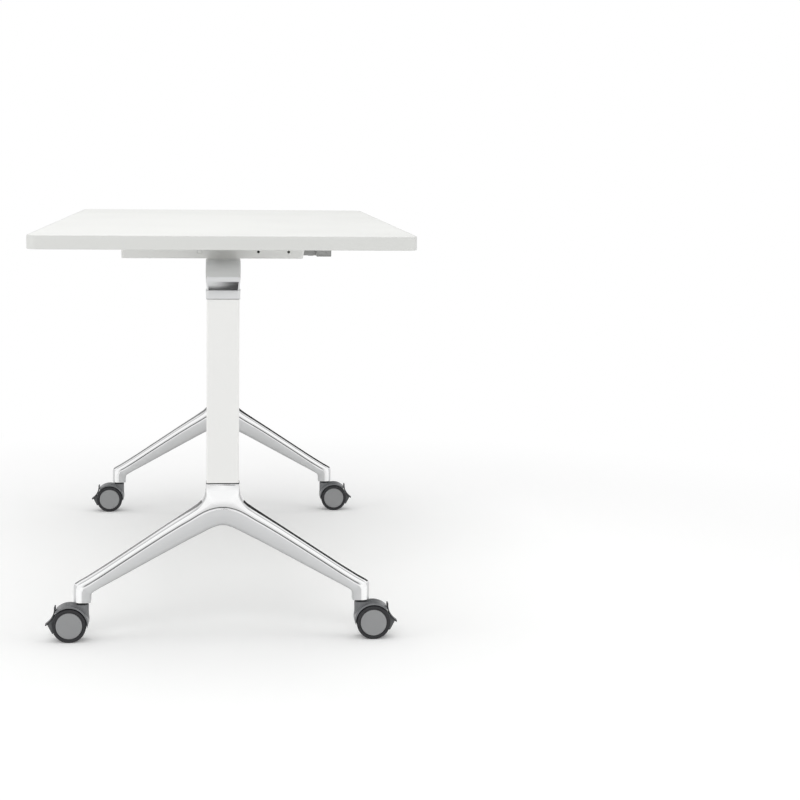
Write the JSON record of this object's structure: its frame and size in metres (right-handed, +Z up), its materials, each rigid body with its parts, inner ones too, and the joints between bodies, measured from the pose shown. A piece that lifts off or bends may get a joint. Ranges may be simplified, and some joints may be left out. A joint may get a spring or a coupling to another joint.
{
  "type": "flip top training table",
  "caption": "Rectangular training table on castors with cast feet, uprights and a crossbar; the top tilts upright when its release bar is pulled, so that tables nest.",
  "frame": {"origin": "on the floor under the centre of the table top", "axes": "+Z up, +Y along the table's length, +X towards the long side with the release grip"},
  "size_m": [0.7, 1.4, 0.757],
  "materials": {
    "laminate": "white matt laminate on board",
    "edge_band": "white satin edging",
    "white_paint": "white satin powder coat",
    "polished_casting": "polished casting",
    "polished_trim": "bright polished",
    "dark_bolt": "blackened",
    "steel": "turned",
    "red_grip": "red matt sleeve",
    "castor_grey": "moulded satin",
    "castor_stem": "blackened",
    "hub_grey": "moulded satin",
    "tyre": "matt",
    "pedal_black": "moulded satin"
  },
  "bodies": {
    "frame": {"crossbar": "white_paint", "near_foot": "polished_casting", "near_post": "white_paint", "near_collar": "polished_trim", "near_elbow": "polished_casting", "near_hinge_arm": "white_paint", "near_catch_bolt": "dark_bolt", "far_foot": "polished_casting", "far_post": "white_paint", "far_collar": "polished_trim", "far_elbow": "polished_casting", "far_hinge_arm": "white_paint", "far_catch_bolt": "dark_bolt", "near_left_stem": "castor_stem", "near_right_stem": "castor_stem", "far_left_stem": "castor_stem", "far_right_stem": "castor_stem"},
    "top": {"tabletop": "laminate", "edge_band": "edge_band", "near_rail": "white_paint", "near_hinge_pin": "white_paint", "near_guide_screw": "dark_bolt", "far_rail": "white_paint", "far_hinge_pin": "white_paint", "far_guide_screw": "dark_bolt"},
    "release": {"release_bar": "white_paint", "release_grip": "red_grip", "near_release_arm": "white_paint", "far_release_arm": "white_paint"},
    "near_left_castor": {"near_left_housing": "castor_grey", "near_left_axle": "steel"},
    "near_left_outer_wheel": {"near_left_outer_tyre": "tyre", "near_left_outer_hub": "hub_grey"},
    "near_left_inner_wheel": {"near_left_inner_tyre": "tyre", "near_left_inner_hub": "hub_grey"},
    "near_left_brake": {"near_left_brake_pedal": "pedal_black"},
    "near_right_castor": {"near_right_housing": "castor_grey", "near_right_axle": "steel"},
    "near_right_outer_wheel": {"near_right_outer_tyre": "tyre", "near_right_outer_hub": "hub_grey"},
    "near_right_inner_wheel": {"near_right_inner_tyre": "tyre", "near_right_inner_hub": "hub_grey"},
    "near_right_brake": {"near_right_brake_pedal": "pedal_black"},
    "far_left_castor": {"far_left_housing": "castor_grey", "far_left_axle": "steel"},
    "far_left_outer_wheel": {"far_left_outer_tyre": "tyre", "far_left_outer_hub": "hub_grey"},
    "far_left_inner_wheel": {"far_left_inner_tyre": "tyre", "far_left_inner_hub": "hub_grey"},
    "far_left_brake": {"far_left_brake_pedal": "pedal_black"},
    "far_right_castor": {"far_right_housing": "castor_grey", "far_right_axle": "steel"},
    "far_right_outer_wheel": {"far_right_outer_tyre": "tyre", "far_right_outer_hub": "hub_grey"},
    "far_right_inner_wheel": {"far_right_inner_tyre": "tyre", "far_right_inner_hub": "hub_grey"},
    "far_right_brake": {"far_right_brake_pedal": "pedal_black"}
  },
  "joints": [
    {"name": "top_fold", "type": "hinge", "parent": "frame", "child": "top", "pos_m": [-0.044, 0, 0.7196], "axis": [0, -1, 0], "range_deg": [0, 90]},
    {"name": "release_slide", "type": "slide", "parent": "top", "child": "release", "axis": [1, 0, 0], "range_m": [0, 0.014], "stiffness_N_per_m": 1500, "springref_m": -0.004},
    {"name": "near_left_swivel", "type": "hinge", "parent": "frame", "child": "near_left_castor", "pos_m": [-0.2587, -0.604, 0.06], "axis": [0, 0, 1], "continuous": true},
    {"name": "near_left_outer_spin", "type": "hinge", "parent": "near_left_castor", "child": "near_left_outer_wheel", "pos_m": [-0.2822, -0.604, 0.0315], "axis": [0, 1, 0], "continuous": true},
    {"name": "near_left_inner_spin", "type": "hinge", "parent": "near_left_castor", "child": "near_left_inner_wheel", "pos_m": [-0.2822, -0.604, 0.0315], "axis": [0, 1, 0], "continuous": true},
    {"name": "near_left_brake_press", "type": "hinge", "parent": "near_left_castor", "child": "near_left_brake", "pos_m": [-0.2822, -0.604, 0.0315], "axis": [0, -1, 0], "range_deg": [0, 15]},
    {"name": "near_right_swivel", "type": "hinge", "parent": "frame", "child": "near_right_castor", "pos_m": [0.2587, -0.604, 0.06], "axis": [0, 0, 1], "continuous": true},
    {"name": "near_right_outer_spin", "type": "hinge", "parent": "near_right_castor", "child": "near_right_outer_wheel", "pos_m": [0.2822, -0.604, 0.0315], "axis": [0, 1, 0], "continuous": true},
    {"name": "near_right_inner_spin", "type": "hinge", "parent": "near_right_castor", "child": "near_right_inner_wheel", "pos_m": [0.2822, -0.604, 0.0315], "axis": [0, 1, 0], "continuous": true},
    {"name": "near_right_brake_press", "type": "hinge", "parent": "near_right_castor", "child": "near_right_brake", "pos_m": [0.2822, -0.604, 0.0315], "axis": [0, 1, 0], "range_deg": [0, 15]},
    {"name": "far_left_swivel", "type": "hinge", "parent": "frame", "child": "far_left_castor", "pos_m": [-0.2587, 0.604, 0.06], "axis": [0, 0, 1], "continuous": true},
    {"name": "far_left_outer_spin", "type": "hinge", "parent": "far_left_castor", "child": "far_left_outer_wheel", "pos_m": [-0.2822, 0.604, 0.0315], "axis": [0, 1, 0], "continuous": true},
    {"name": "far_left_inner_spin", "type": "hinge", "parent": "far_left_castor", "child": "far_left_inner_wheel", "pos_m": [-0.2822, 0.604, 0.0315], "axis": [0, 1, 0], "continuous": true},
    {"name": "far_left_brake_press", "type": "hinge", "parent": "far_left_castor", "child": "far_left_brake", "pos_m": [-0.2822, 0.604, 0.0315], "axis": [0, -1, 0], "range_deg": [0, 15]},
    {"name": "far_right_swivel", "type": "hinge", "parent": "frame", "child": "far_right_castor", "pos_m": [0.2587, 0.604, 0.06], "axis": [0, 0, 1], "continuous": true},
    {"name": "far_right_outer_spin", "type": "hinge", "parent": "far_right_castor", "child": "far_right_outer_wheel", "pos_m": [0.2822, 0.604, 0.0315], "axis": [0, 1, 0], "continuous": true},
    {"name": "far_right_inner_spin", "type": "hinge", "parent": "far_right_castor", "child": "far_right_inner_wheel", "pos_m": [0.2822, 0.604, 0.0315], "axis": [0, 1, 0], "continuous": true},
    {"name": "far_right_brake_press", "type": "hinge", "parent": "far_right_castor", "child": "far_right_brake", "pos_m": [0.2822, 0.604, 0.0315], "axis": [0, 1, 0], "range_deg": [0, 15]}
  ]
}
